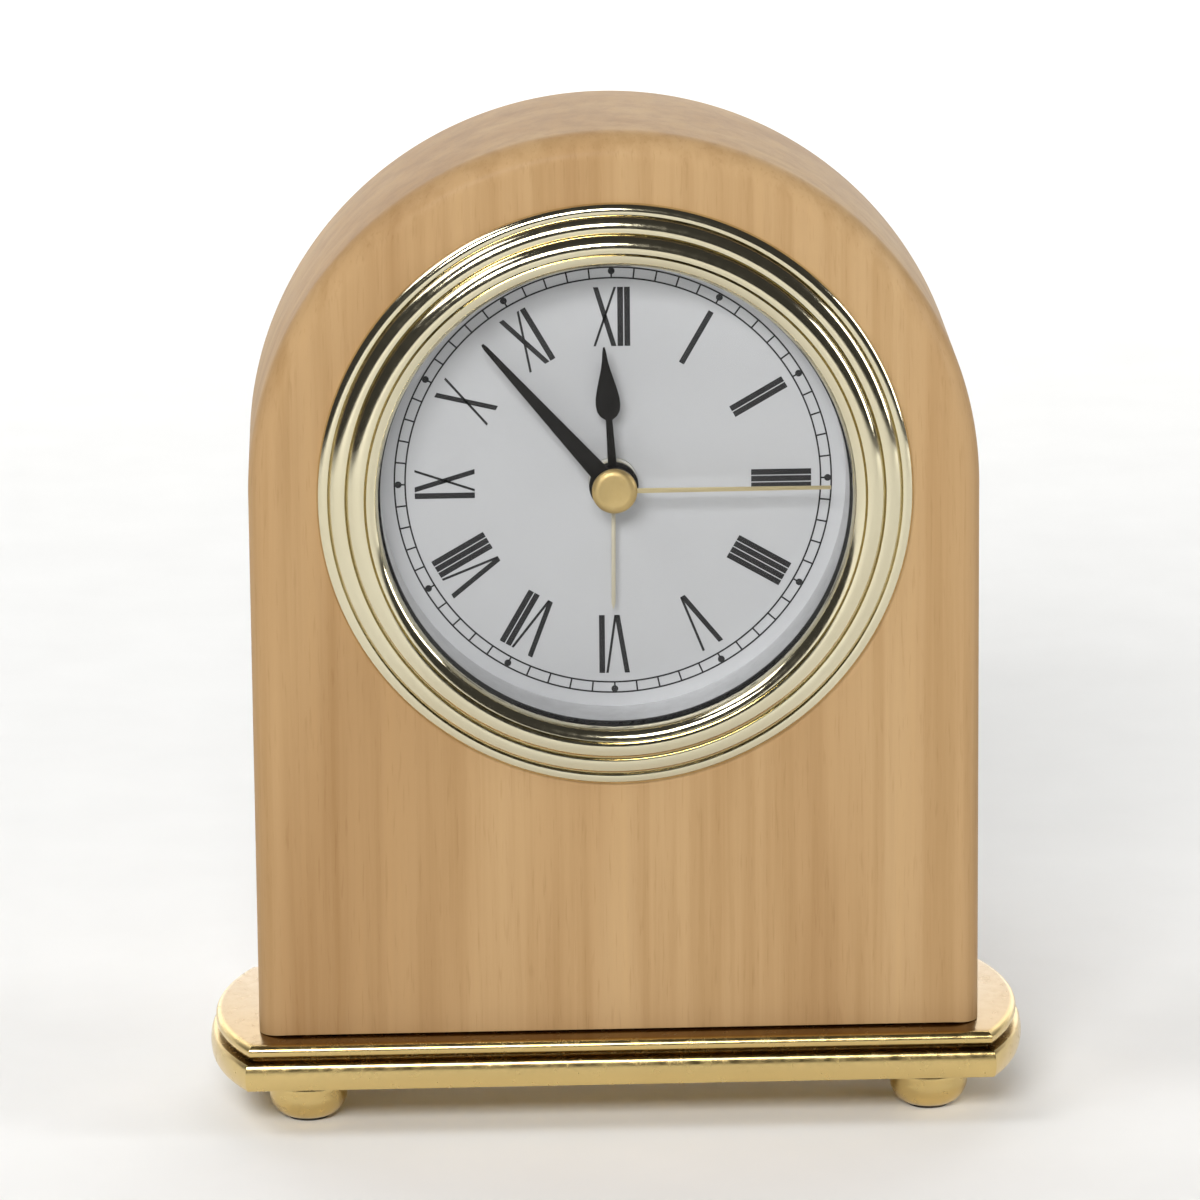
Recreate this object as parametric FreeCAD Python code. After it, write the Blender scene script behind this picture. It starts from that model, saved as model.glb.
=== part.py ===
"""Arched wooden desk clock with a round battery movement set into its case.

Units are millimetres.  +Z is up, the dial faces -Y, X runs to the right of
someone reading the dial.  The origin lies on the table under the middle of
the clock.  Everything inside the round insert is laid out around the dial's
centre and lifted to its height at the end.
"""
import FreeCAD, Part
import math
import os

V = FreeCAD.Vector

# ---- driving dimensions: case, base and feet ----
CASE_WIDTH = 88.5
CASE_DEPTH = 30.0
CASE_FRONT_Y = -18.0
CASE_FRONT_ROUND = 3.4
CASE_BACK_ROUND = 2.0
BORE_RADIUS = 31.0
BASE_DEPTH = 35.0
BASE_CENTRE_Y = -2.7
BASE_CORNER_X = 46.0
BASE_END_X = 50.4
BASE_BOTTOM_Z = 6.2
BASE_BAND = 3.4
BASE_COVE = 0.4
BASE_SCREW_X = 24.0
BASE_SCREW_Y = -1.2
BASE_TOP_Z = 11.9
FOOT_X = 38.4
FOOT_Y = 7.5
PAD_THICKNESS = 0.4
PAD_RADIUS = 2.5
DIAL_CENTRE_Z = 79.6
CASE_SHIFT_Y = 1.8  # moves the case and its insert back until the whole clock is centred

# ---- driving dimensions: insert ----
BEZEL_RADIUS = 36.0
WINDOW_RADIUS = 28.6
CUP_RADIUS = 30.0
CUP_BORE = 28.95
CUP_BACK_Y = 10.6
BACK_Y = 13.0
DIAL_Y = -10.6
DIAL_RADIUS = 28.8
PLATE_FRONT_Y = -10.2
PLATE_BACK_Y = -9.2
LID_FRONT_Y = 1.2
LID_BACK_Y = 2.2
BOX_X = 19.0
BOX_LOW_Z = -8.8
BOX_HIGH_Z = 18.7
WALL = 0.8

# ---- driving dimensions: gears (module in millimetres) ----
MODULE = 0.25
MODULE_SECONDS = 0.22 * 72.0 / 68.0
MODULE_MINUTES = 0.22
MODULE_HOURS = 0.24
SECOND_TEETH = 40
INTERMEDIATE_TEETH = 36
ROTOR_LEAVES = 6
PINION_LEAVES = 8
THIRD_TEETH = 60
CENTRE_TEETH = 64
CANNON_TEETH = 12
MOTION_TEETH = 36
MOTION_LEAVES = 10
HOUR_TEETH = 40
ALARM_TEETH = 40
ALARM_SETTING_TEETH = 32
TIME_SETTING_TEETH = 12

# ---- hands, as the clock stands ----
HOUR_ANGLE = 356.5
MINUTE_ANGLE = 319.0
SECOND_ANGLE = 90.0
ALARM_ANGLE = 180.5
HAND_THICKNESS = 0.25

# ---- battery compartment ----
BATTERY_Y = 5.2
BATTERY_Z = -13.2
BATTERY_RADIUS = 5.1
BATTERY_LENGTH = 44.0
DOOR_AXIS_Y = 12.0
DOOR_AXIS_Z = -16.8
KNOB_RADIUS = 4.2


# ---- small helpers ----
def rod(radius, y_from, y_to, x=0.0, z=0.0):
    return Part.makeCylinder(radius, y_to - y_from, V(x, y_from, z), V(0, 1, 0))


def tube(outer, inner, y_from, y_to, x=0.0, z=0.0):
    return rod(outer, y_from, y_to, x, z).cut(rod(inner, y_from, y_to, x, z))


def block(x_from, x_to, y_from, y_to, z_from, z_to):
    return Part.makeBox(x_to - x_from, y_to - y_from, z_to - z_from, V(x_from, y_from, z_from))


def outline(start, steps):
    """Closed wire through (a, b) points; a step of two points is an arc."""
    edges = []
    cursor = start
    for step in steps:
        if isinstance(step[0], tuple):
            middle, end = step
            edges.append(Part.Arc(V(*cursor, 0), V(*middle, 0), V(*end, 0)).toShape())
        else:
            end = step
            edges.append(Part.LineSegment(V(*cursor, 0), V(*end, 0)).toShape())
        cursor = end
    if cursor != start:
        edges.append(Part.LineSegment(V(*cursor, 0), V(*start, 0)).toShape())
    return Part.Wire(edges)


def turned_about_y(start, steps):
    """Turning from a half section given as (radius, y) points."""
    return Part.Face(outline(start, steps)).revolve(V(0, 0, 0), V(0, 1, 0), 360)


def turned_about_z(start, steps, x, y):
    """Turning from a half section given as (radius, z) points."""
    face = Part.Face(outline(start, steps))
    face.rotate(V(0, 0, 0), V(1, 0, 0), 90)
    solid = face.revolve(V(0, 0, 0), V(0, 0, 1), 360)
    solid.translate(V(x, y, 0))
    return solid


def plate_from_points(points, y_from, y_to):
    """Flat plate from (x, z) points."""
    corners = [V(x, y_from, z) for x, z in points]
    face = Part.Face(Part.makePolygon(corners + corners[:1]))
    return face.extrude(V(0, y_to - y_from, 0))


def polar(radius, degrees):
    angle = math.radians(degrees)
    return (radius * math.cos(angle), radius * math.sin(angle))


def clock_turn(shape, degrees):
    """Turn a hand drawn pointing to twelve round to its place on the dial."""
    shape.rotate(V(0, 0, 0), V(0, 1, 0), degrees)
    return shape


# ---- gears ----
def gear(teeth, module, y_from, y_to, centre, phase, bore=0.0):
    """Spur gear with slim teeth, one of them pointing along phase (radians)."""
    pitch = teeth * module / 2
    step = 2 * math.pi / teeth
    slim = 0.50 if teeth > 16 else 0.42
    flank = (
        (pitch - 1.15 * module, slim * step / 2),
        (pitch, 0.40 * step / 2),
        (pitch + 0.80 * module, 0.16 * step / 2),
    )
    points = []
    for tooth in range(teeth):
        middle = phase + tooth * step
        for radius, half in flank:
            points.append((radius, middle - half))
        for radius, half in reversed(flank):
            points.append((radius, middle + half))
    plane = [(centre[0] + r * math.cos(a), centre[1] + r * math.sin(a)) for r, a in points]
    wheel = plate_from_points(plane, y_from, y_to)
    if bore:
        wheel = wheel.cut(rod(bore, y_from, y_to, *centre))
    return wheel


def mate_phase(phase, teeth, direction, mate_teeth):
    """Phase that puts a gap of the mate over each tooth of the first gear."""
    return direction + math.pi + (direction - phase) * teeth / mate_teeth + math.pi / mate_teeth


def direction_of(start, end):
    return math.atan2(end[1] - start[1], end[0] - start[0])


def offset(start, distance, degrees):
    dx, dz = polar(distance, degrees)
    return (start[0] + dx, start[1] + dz)


CENTRE = (0.0, 0.0)
INTERMEDIATE = offset(CENTRE, (SECOND_TEETH + PINION_LEAVES) * MODULE / 2, 120)
ROTOR = offset(INTERMEDIATE, (INTERMEDIATE_TEETH + ROTOR_LEAVES) * MODULE / 2, 150)
THIRD = offset(CENTRE, (CENTRE_TEETH + PINION_LEAVES) * MODULE_MINUTES / 2, 45)
MOTION = offset(CENTRE, (MOTION_TEETH + CANNON_TEETH) * MODULE / 2, -30)
TIME_SETTER = offset(MOTION, (MOTION_TEETH + TIME_SETTING_TEETH) * MODULE / 2, 0)
ALARM_SETTER = offset(CENTRE, (ALARM_TEETH + ALARM_SETTING_TEETH) * MODULE / 2, 197.5)


# ---- wooden case ----
def arch_body():
    half = CASE_WIDTH / 2
    left = [V(-half, 0, DIAL_CENTRE_Z), V(-half, 0, BASE_TOP_Z)]
    corners = left + [V(half, 0, BASE_TOP_Z), V(half, 0, DIAL_CENTRE_Z)]
    sides = [Part.LineSegment(a, b).toShape() for a, b in zip(corners, corners[1:])]
    crown = Part.Arc(corners[3], V(0, 0, DIAL_CENTRE_Z + half), corners[0]).toShape()
    face = Part.Face(Part.Wire(sides + [crown]))
    face.translate(V(0, CASE_FRONT_Y, 0))
    return face.extrude(V(0, CASE_DEPTH, 0))


def rim_edges(solid, y_plane):
    """Edges of the arch and both sides in one end plane, without the foot edge."""
    found = []
    for edge in solid.Edges:
        box = edge.BoundBox
        in_plane = abs(box.YMin - y_plane) < 0.01 and abs(box.YMax - y_plane) < 0.01
        if in_plane and box.ZMax > BASE_TOP_Z + 0.1:
            found.append(edge)
    return found


def wood_case():
    body = arch_body()
    body = body.makeFillet(CASE_FRONT_ROUND, rim_edges(body, CASE_FRONT_Y))
    body = body.makeFillet(CASE_BACK_ROUND, rim_edges(body, CASE_FRONT_Y + CASE_DEPTH))
    back = CASE_FRONT_Y + CASE_DEPTH
    bore = rod(BORE_RADIUS, CASE_FRONT_Y - 1, back + 1, 0, DIAL_CENTRE_Z)
    mouth = Part.makeCone(BORE_RADIUS, BORE_RADIUS + 0.7, 0.7, V(0, back - 0.7, DIAL_CENTRE_Z), V(0, 1, 0))
    screw_y = BASE_SCREW_Y - CASE_SHIFT_Y
    places = [V(x, screw_y, BASE_TOP_Z - 0.1) for x in (-BASE_SCREW_X, BASE_SCREW_X)]
    pilots = [Part.makeCylinder(1.5, 15, place) for place in places]
    return body.cut([bore, mouth] + pilots)


# ---- base, feet and pads ----
def base_outline(inset, z):
    """Straight front and back with bowed ends, pulled in by inset."""
    front = BASE_CENTRE_Y - BASE_DEPTH / 2 + inset
    back = BASE_CENTRE_Y + BASE_DEPTH / 2 - inset
    corner = BASE_CORNER_X - inset * 0.7
    end = BASE_END_X - inset
    a, b = V(-corner, front, z), V(corner, front, z)
    c, d = V(corner, back, z), V(-corner, back, z)
    edges = [
        Part.LineSegment(a, b).toShape(),
        Part.Arc(b, V(end, BASE_CENTRE_Y, z), c).toShape(),
        Part.LineSegment(c, d).toShape(),
        Part.Arc(d, V(-end, BASE_CENTRE_Y, z), a).toShape(),
    ]
    return Part.Wire(edges)


def base_levels():
    """(height, inset) pairs up the moulded edge: band, narrow cove, bead, flat top."""
    cove_low = BASE_BOTTOM_Z + BASE_BAND
    radius = BASE_BAND / 2
    levels = []
    for step in range(9):
        angle = math.radians(-80 + 20 * step)
        height = BASE_BOTTOM_Z + radius + radius * math.sin(angle)
        levels.append((height, radius * 0.30 * (1 - math.cos(angle))))
    for step in range(1, 5):
        angle = math.radians(90 * step / 4)
        levels.append((cove_low + BASE_COVE * (1 - math.cos(angle)), 0.75 + 0.85 * math.sin(angle)))
    bead = (BASE_TOP_Z - cove_low - BASE_COVE) / 2
    for step in range(7):
        angle = math.radians(-75 + 25 * step)
        z = BASE_TOP_Z - bead + bead * math.sin(angle) * 0.98
        levels.append((z, 0.65 + bead * (1 - math.cos(angle))))
    levels.append((BASE_TOP_Z, 0.65 + bead))
    return levels


def base_plate():
    levels = sorted(base_levels())
    wires = [base_outline(inset, z) for z, inset in levels]
    solid = None
    for lower, upper in zip(wires, wires[1:]):
        slab = Part.makeLoft([lower, upper], True, True)
        solid = slab if solid is None else solid.fuse(slab)
    bottom = levels[0][0]
    cuts = []
    for x in (-BASE_SCREW_X, BASE_SCREW_X):
        cuts.append(Part.makeCylinder(1.85, 10, V(x, BASE_SCREW_Y, bottom - 1)))
        cuts.append(Part.makeCone(3.8, 1.85, 2.2, V(x, BASE_SCREW_Y, bottom - 0.01)))
    for x, y in foot_places():
        cuts.append(Part.makeCylinder(1.55, 4.3, V(x, y, bottom - 0.01)))
    return solid.cut(cuts)


def foot_places():
    front, rear = BASE_CENTRE_Y - FOOT_Y, BASE_CENTRE_Y + FOOT_Y
    return [(-FOOT_X, front), (FOOT_X, front), (-FOOT_X, rear), (FOOT_X, rear)]


def foot(x, y):
    """Turned bun foot in one piece with the stud that screws into the base."""
    top = sorted(base_levels())[0][0]
    steps = [
        (3.1, PAD_THICKNESS),
        ((4.3, 1.55), (4.8, 3.8)),
        ((4.75, 4.8), (4.25, 5.5)),
        (3.9, 5.6),
        (3.9, top),
        (1.5, top),
        (1.5, top + 4.0),
        (0.0, top + 4.0),
    ]
    return turned_about_z((0.0, PAD_THICKNESS), steps, x, y)


def foot_pads():
    pads = [Part.makeCylinder(PAD_RADIUS, PAD_THICKNESS, V(x, y, 0)) for x, y in foot_places()]
    return Part.Compound(pads)


def base_screws():
    """Countersunk wood screws driven up through the base into the case."""
    bottom = sorted(base_levels())[0][0] + 0.15
    y = BASE_SCREW_Y
    solids = []
    for x in (-BASE_SCREW_X, BASE_SCREW_X):
        head = [(3.4, bottom), (3.4, bottom + 0.25), (1.45, bottom + 2.1)]
        steps = head + [(1.45, bottom + 17), (0.3, bottom + 19)]
        screw = turned_about_z((0.0, bottom), steps + [(0.0, bottom + 19)], x, y)
        slots = [block(x - 2, x + 2, y - 0.35, y + 0.35, bottom, bottom + 0.9)]
        slots.append(block(x - 0.35, x + 0.35, y - 2, y + 2, bottom, bottom + 0.9))
        solids.append(screw.cut(slots))
    return Part.Compound(solids)


# ---- bezel, window and dial ----
def bezel():
    """Stepped ring: three rounded steps rising inward, then a lip falling to the window."""
    face = CASE_FRONT_Y

    def at(radius, height):
        return (radius, face - height)

    steps = [
        at(30.75, -2.5),
        at(30.75, 0.0),
        at(BEZEL_RADIUS, 0.0),
        at(BEZEL_RADIUS, 0.35),
        (at(35.55, 0.85), at(34.7, 0.95)),
        at(34.6, 0.72),
        at(34.42, 1.15),
        (at(33.6, 1.72), at(32.62, 1.75)),
        at(32.5, 1.45),
        at(32.32, 2.0),
        (at(31.3, 2.75), at(30.32, 2.72)),
        at(30.2, 2.4),
        at(30.02, 2.78),
        (at(29.4, 2.62), at(WINDOW_RADIUS, 1.6)),
        at(WINDOW_RADIUS, 0.95),
        at(29.0, 0.95),
        at(29.0, 0.0),
        at(30.05, 0.0),
    ]
    return turned_about_y(at(30.05, -2.5), steps)


def lens():
    return rod(28.85, CASE_FRONT_Y - 0.95, CASE_FRONT_Y + 0.25)


def lens_gasket():
    return tube(28.85, 28.35, CASE_FRONT_Y + 0.25, CASE_FRONT_Y + 0.75)


def dial_wall():
    return tube(28.85, 28.3, CASE_FRONT_Y + 0.75, DIAL_Y)


def dial():
    return tube(DIAL_RADIUS, 3.0, DIAL_Y, PLATE_FRONT_Y)


# ---- insert housing ----
def boss_places():
    return [polar(26.2, angle) for angle in (0, 90, 180, 270)]


def insert_cup():
    wall = tube(CUP_RADIUS, CUP_BORE, CASE_FRONT_Y, CUP_BACK_Y)
    shelf = tube(CUP_BORE + 0.2, 27.2, PLATE_BACK_Y, PLATE_BACK_Y + 1.2)
    inside = rod(CUP_RADIUS - 0.2, PLATE_BACK_Y, CUP_BACK_Y)
    bosses = [rod(2.4, PLATE_BACK_Y + 1.0, CUP_BACK_Y, x, z) for x, z in boss_places()]
    webs = []
    for angle in (0, 90, 180, 270):
        web = block(26.2, 29.6, PLATE_BACK_Y + 1.0, CUP_BACK_Y, -2.0, 2.0)
        web.rotate(V(0, 0, 0), V(0, 1, 0), angle)
        webs.append(web)
    inner = bosses[0].fuse(bosses[1:] + webs).common(inside)
    solid = wall.fuse([shelf, inner])
    holes = [rod(1.0, 3.4, CUP_BACK_Y + 0.1, x, z) for x, z in boss_places()]
    return solid.cut(holes)


def grip_ring():
    """Rubber ring with three raised ribs that holds the cup in the wooden bore."""
    start = (30.02, -13.0)
    steps = [(30.35, -13.0)]
    for rib in range(3):
        low = -12.4 + rib * 2.6
        steps += [(30.35, low), ((30.9, low + 0.6), (30.35, low + 1.2))]
    steps += [(30.35, -5.0), (30.02, -5.0)]
    return turned_about_y(start, steps)


def door_outline(grow, y_from, y_to):
    panel = block(-22.2 - grow, 22.2 + grow, y_from, y_to, -18.4 - grow, -7.8 + grow)
    return panel.common(rod(28.6 + grow, y_from, y_to))


def insert_back():
    solid = rod(29.95, CUP_BACK_Y, BACK_Y)
    cuts = [door_outline(0.2, CUP_BACK_Y, BACK_Y)]
    cuts.append(rod(1.08, CUP_BACK_Y, BACK_Y, *TIME_SETTER))
    cuts.append(rod(0.88, CUP_BACK_Y, BACK_Y, *ALARM_SETTER))
    for x, z in boss_places():
        cuts.append(rod(1.05, CUP_BACK_Y, BACK_Y, x, z))
        cuts.append(rod(2.0, BACK_Y - 1.1, BACK_Y, x, z))
    cuts.append(block(-18.5, -11.9, CUP_BACK_Y, BACK_Y, 8.0, 10.4))
    for ring, count in ((0.0, 1), (2.4, 6), (4.8, 12)):
        for hole in range(count):
            dx, dz = polar(ring, 360.0 * hole / count)
            cuts.append(rod(0.6, CUP_BACK_Y, BACK_Y, dx, 13.0 + dz))
    for x in (-23.6, 23.6):
        cuts.append(rod_along_x(0.55, x - 1.3, x + 1.3, DOOR_AXIS_Y, DOOR_AXIS_Z))
    solid = solid.cut(cuts)
    ribs = [block(x - 0.5, x + 0.5, CUP_BACK_Y - 5.0, CUP_BACK_Y, -7.4, -6.4) for x in (-12, 0, 12)]
    shelf = block(-18.0, 18.0, CUP_BACK_Y - 5.0, CUP_BACK_Y, -7.2, -6.6)
    return solid.fuse(ribs + [shelf])


def rod_along_x(radius, x_from, x_to, y, z):
    return Part.makeCylinder(radius, x_to - x_from, V(x_from, y, z), V(1, 0, 0))


def back_screws():
    solids = []
    for x, z in boss_places():
        head = rod(1.8, BACK_Y - 1.1, BACK_Y - 0.1, x, z)
        shank = rod(0.95, 4.0, BACK_Y - 1.1, x, z)
        slots = [block(x - 1.1, x + 1.1, BACK_Y - 0.6, BACK_Y, z - 0.22, z + 0.22)]
        slots.append(block(x - 0.22, x + 0.22, BACK_Y - 0.6, BACK_Y, z - 1.1, z + 1.1))
        solids.append(head.fuse(shank).cut(slots))
    return Part.Compound(solids)


def battery_door():
    panel = door_outline(0.0, 11.2, 12.8)
    pins = [rod_along_x(0.45, 22.0, 23.4, DOOR_AXIS_Y, DOOR_AXIS_Z)]
    pins.append(rod_along_x(0.45, -23.4, -22.0, DOOR_AXIS_Y, DOOR_AXIS_Z))
    ribs = [block(-6.0, 6.0, 12.8, 13.2, z, z + 0.5) for z in (-10.8, -11.8, -12.8)]
    return panel.fuse(pins + ribs)


def battery():
    half = BATTERY_LENGTH / 2
    body = rod_along_x(BATTERY_RADIUS, -half, half - 0.9, BATTERY_Y, BATTERY_Z)
    button = rod_along_x(1.9, half - 0.9, half, BATTERY_Y, BATTERY_Z)
    edges = [edge for edge in body.Edges if edge.Curve.TypeId == "Part::GeomCircle"]
    return body.makeFillet(0.5, edges).fuse(button)


def contact_plus():
    half = BATTERY_LENGTH / 2
    leaf = block(half, half + 0.4, 2.6, CUP_BACK_Y, -15.0, -11.0)
    tail = block(half - 2.4, half, CUP_BACK_Y - 0.4, CUP_BACK_Y, -12.2, -11.0)
    return leaf.fuse(tail)


def contact_spring():
    """Leaf that presses on the flat end of the cell, dished where it touches."""
    half = BATTERY_LENGTH / 2
    leaf = block(-half - 1.2, -half - 0.8, 2.6, CUP_BACK_Y, -15.0, -11.0)
    dish = Part.makeCone(1.9, 1.0, 0.8, V(-half - 0.8, BATTERY_Y, BATTERY_Z), V(1, 0, 0))
    return leaf.fuse(dish)


# ---- movement frame ----
def corner_places():
    return [(-17.2, 16.9), (17.2, 16.9), (-17.2, -6.5), (17.2, -6.5)]


def movement_plate():
    disc = rod(28.6, PLATE_FRONT_Y, PLATE_BACK_Y)
    outer = block(-BOX_X, BOX_X, PLATE_BACK_Y, LID_FRONT_Y, BOX_LOW_Z, BOX_HIGH_Z)
    side = BOX_X - WALL
    inner = block(-side, side, PLATE_BACK_Y, LID_FRONT_Y, BOX_LOW_Z + WALL, BOX_HIGH_Z - WALL)
    walls = outer.cut(inner)
    inside = block(-BOX_X, BOX_X, PLATE_BACK_Y - 0.1, LID_FRONT_Y, BOX_LOW_Z, BOX_HIGH_Z)
    bosses = [rod(1.6, PLATE_BACK_Y - 0.1, LID_FRONT_Y, x, z).common(inside) for x, z in corner_places()]
    bushing = rod(2.95, DIAL_Y - 0.3, PLATE_BACK_Y)
    stud = rod(0.5, PLATE_BACK_Y - 0.5, -6.2, *MOTION)
    solid = disc.fuse([walls, bushing, stud] + bosses)
    cuts = [rod(2.46, DIAL_Y - 1, PLATE_BACK_Y + 0.1)]
    cuts += [rod(0.65, -4.0, LID_FRONT_Y + 0.1, x, z) for x, z in corner_places()]
    cuts.append(rod(0.40, PLATE_BACK_Y - 0.5, PLATE_BACK_Y + 0.1, *THIRD))
    cuts.append(rod(0.60, PLATE_BACK_Y - 0.5, PLATE_BACK_Y + 0.1, *ALARM_SETTER))
    cuts.append(rod(0.60, PLATE_BACK_Y - 0.5, PLATE_BACK_Y + 0.1, *TIME_SETTER))
    return solid.cut(cuts)


def movement_lid():
    lid = block(-BOX_X, BOX_X, LID_FRONT_Y, LID_BACK_Y, BOX_LOW_Z, BOX_HIGH_Z)
    places = ((8.6, 0.2), (14.2, 0.2), (8.6, 16.2), (14.2, 16.2))
    posts = [rod(0.9, 0.2, LID_FRONT_Y, x, z) for x, z in places]
    posts += [rod(0.6, -0.1, LID_FRONT_Y, x, z) for x, z in ((-17.1, 13.4), (-4.85, 13.4))]
    solid = lid.fuse(posts)
    cuts = [rod(1.08, LID_FRONT_Y, LID_BACK_Y, *TIME_SETTER)]
    cuts.append(rod(0.88, LID_FRONT_Y, LID_BACK_Y, *ALARM_SETTER))
    for place, radius in ((CENTRE, 0.45), (THIRD, 0.40), (INTERMEDIATE, 0.40), (ROTOR, 0.40)):
        cuts.append(rod(radius, LID_FRONT_Y, LID_FRONT_Y + 0.7, *place))
    cuts += [rod(0.7, LID_FRONT_Y, LID_BACK_Y, x, z) for x, z in corner_places()]
    return solid.cut(cuts)


def movement_screws():
    solids = []
    for x, z in corner_places():
        head = rod(1.3, LID_BACK_Y, LID_BACK_Y + 0.9, x, z)
        shank = rod(0.6, -3.5, LID_BACK_Y, x, z)
        slot = block(x - 1.4, x + 1.4, LID_BACK_Y + 0.5, LID_BACK_Y + 0.9, z - 0.2, z + 0.2)
        solids.append(head.fuse(shank).cut(slot))
    return Part.Compound(solids)


def train_bridge():
    corners = [(-11.0, 3.6), (-1.9, 3.6), (-1.9, 8.0), (-4.0, 10.4), (-11.0, 10.4)]
    plate = plate_from_points(corners, -5.2, -4.4)
    posts = [rod(0.8, PLATE_BACK_Y, -5.2, x, z) for x, z in ((-10.0, 4.6), (-4.9, 9.4))]
    pivots = [rod(0.40, -5.3, -4.3, *place) for place in (INTERMEDIATE, ROTOR)]
    return plate.fuse(posts).cut(pivots)


# ---- going train ----
def rotor():
    direction = direction_of(INTERMEDIATE, ROTOR)
    phase = mate_phase(INTERMEDIATE_PHASE, INTERMEDIATE_TEETH, direction, ROTOR_LEAVES)
    pinion = gear(ROTOR_LEAVES, MODULE, -3.4, -2.5, ROTOR, phase)
    magnet = rod(2.4, -1.2, 0.2, *ROTOR)
    collar = rod(0.7, -2.5, -1.2, *ROTOR)
    arbor = rod(0.35, -5.1, LID_FRONT_Y + 0.6, *ROTOR)
    return pinion.fuse([magnet, collar, arbor])


SECOND_PHASE = 0.0
INTERMEDIATE_PINION_PHASE = mate_phase(
    SECOND_PHASE, SECOND_TEETH, direction_of(CENTRE, INTERMEDIATE), PINION_LEAVES)
INTERMEDIATE_PHASE = 0.0
THIRD_PHASE = 0.0
CENTRE_WHEEL_PHASE = 0.0
MOTION_PHASE = 0.0


def intermediate_wheel():
    wheel = gear(INTERMEDIATE_TEETH, MODULE, -3.2, -2.7, INTERMEDIATE, INTERMEDIATE_PHASE)
    pinion = gear(PINION_LEAVES, MODULE, -4.2, -3.5, INTERMEDIATE, INTERMEDIATE_PINION_PHASE)
    hub = rod(0.8, -3.5, -3.2, *INTERMEDIATE)
    arbor = rod(0.35, -5.1, LID_FRONT_Y + 0.6, *INTERMEDIATE)
    return wheel.fuse([pinion, hub, arbor])


def second_wheel():
    wheel = gear(SECOND_TEETH, MODULE, -4.1, -3.6, CENTRE, SECOND_PHASE)
    phase = mate_phase(THIRD_PHASE, THIRD_TEETH, direction_of(THIRD, CENTRE), PINION_LEAVES)
    pinion = gear(PINION_LEAVES, MODULE_SECONDS, -5.1, -4.1, CENTRE, phase)
    arbor = rod(0.40, -16.3, LID_FRONT_Y + 0.6)
    collar = rod(1.1, -3.6, 0.2)
    return wheel.fuse([pinion, arbor, collar])


def third_wheel():
    wheel = gear(THIRD_TEETH, MODULE_SECONDS, -5.0, -4.5, THIRD, THIRD_PHASE)
    phase = mate_phase(CENTRE_WHEEL_PHASE, CENTRE_TEETH, direction_of(CENTRE, THIRD), PINION_LEAVES)
    pinion = gear(PINION_LEAVES, MODULE_MINUTES, -6.2, -5.0, THIRD, phase)
    arbor = rod(0.35, PLATE_BACK_Y - 0.4, LID_FRONT_Y + 0.6, *THIRD)
    return wheel.fuse([pinion, arbor])


def centre_wheel():
    """Minute wheel with five windows; it drives the cannon tube by friction."""
    wheel = gear(CENTRE_TEETH, MODULE_MINUTES, -6.0, -5.5, CENTRE, CENTRE_WHEEL_PHASE, 1.03)
    windows = [rod(1.3, -6.0, -5.5, *polar(4.1, 36 + 72 * k)) for k in range(5)]
    return wheel.cut(windows)


def cannon_pinion():
    phase = mate_phase(MOTION_PHASE, MOTION_TEETH, direction_of(MOTION, CENTRE), CANNON_TEETH)
    pinion = gear(CANNON_TEETH, MODULE, -7.1, -6.3, CENTRE, phase)
    body = rod(1.0, -14.95, -5.4)
    return body.fuse(pinion).cut(rod(0.46, -15.5, -5.0))


def motion_wheel():
    wheel = gear(MOTION_TEETH, MODULE, -7.0, -6.4, MOTION, MOTION_PHASE)
    pinion = gear(MOTION_LEAVES, MODULE_HOURS, -8.3, -7.0, MOTION, MOTION_PHASE)
    return wheel.fuse(pinion).cut(rod(0.56, -8.5, -6.3, *MOTION))


def hour_wheel():
    phase = mate_phase(MOTION_PHASE, MOTION_LEAVES, direction_of(MOTION, CENTRE), HOUR_TEETH)
    wheel = gear(HOUR_TEETH, MODULE_HOURS, -8.1, -7.5, CENTRE, phase)
    body = rod(1.70, -13.75, -7.5)
    return body.fuse(wheel).cut(rod(1.06, -14.5, -7.0))


ALARM_PHASE = 0.0


def alarm_wheel():
    wheel = gear(ALARM_TEETH, MODULE, -9.0, -8.4, CENTRE, ALARM_PHASE)
    body = rod(2.40, -12.45, -8.4)
    return body.fuse(wheel).cut(rod(1.76, -13.0, -8.0))


# ---- setting knobs and alarm switch ----
def knurled_knob(place, shaft_radius, shaft_front_y):
    head = rod(KNOB_RADIUS, BACK_Y + 0.4, BACK_Y + 5.4, *place)
    edges = [edge for edge in head.Edges if edge.Curve.TypeId == "Part::GeomCircle"]
    head = head.makeFillet(0.5, edges)
    places = [offset(place, KNOB_RADIUS + 0.1, 15 * k) for k in range(24)]
    grooves = [rod(0.35, BACK_Y + 1.2, BACK_Y + 6, x, z) for x, z in places]
    dish = rod(2.6, BACK_Y + 5.0, BACK_Y + 5.5, *place)
    shaft = rod(shaft_radius, shaft_front_y, BACK_Y + 0.5, *place)
    return head.cut(grooves + [dish]).fuse(shaft)


def time_set_knob():
    phase = mate_phase(MOTION_PHASE, MOTION_TEETH, direction_of(MOTION, TIME_SETTER), TIME_SETTING_TEETH)
    pinion = gear(TIME_SETTING_TEETH, MODULE, -7.1, -6.3, TIME_SETTER, phase)
    knob = knurled_knob(TIME_SETTER, 1.0, -6.3)
    pivot = rod(0.55, PLATE_BACK_Y - 0.4, -6.3, *TIME_SETTER)
    return knob.fuse([pinion, pivot])


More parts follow.
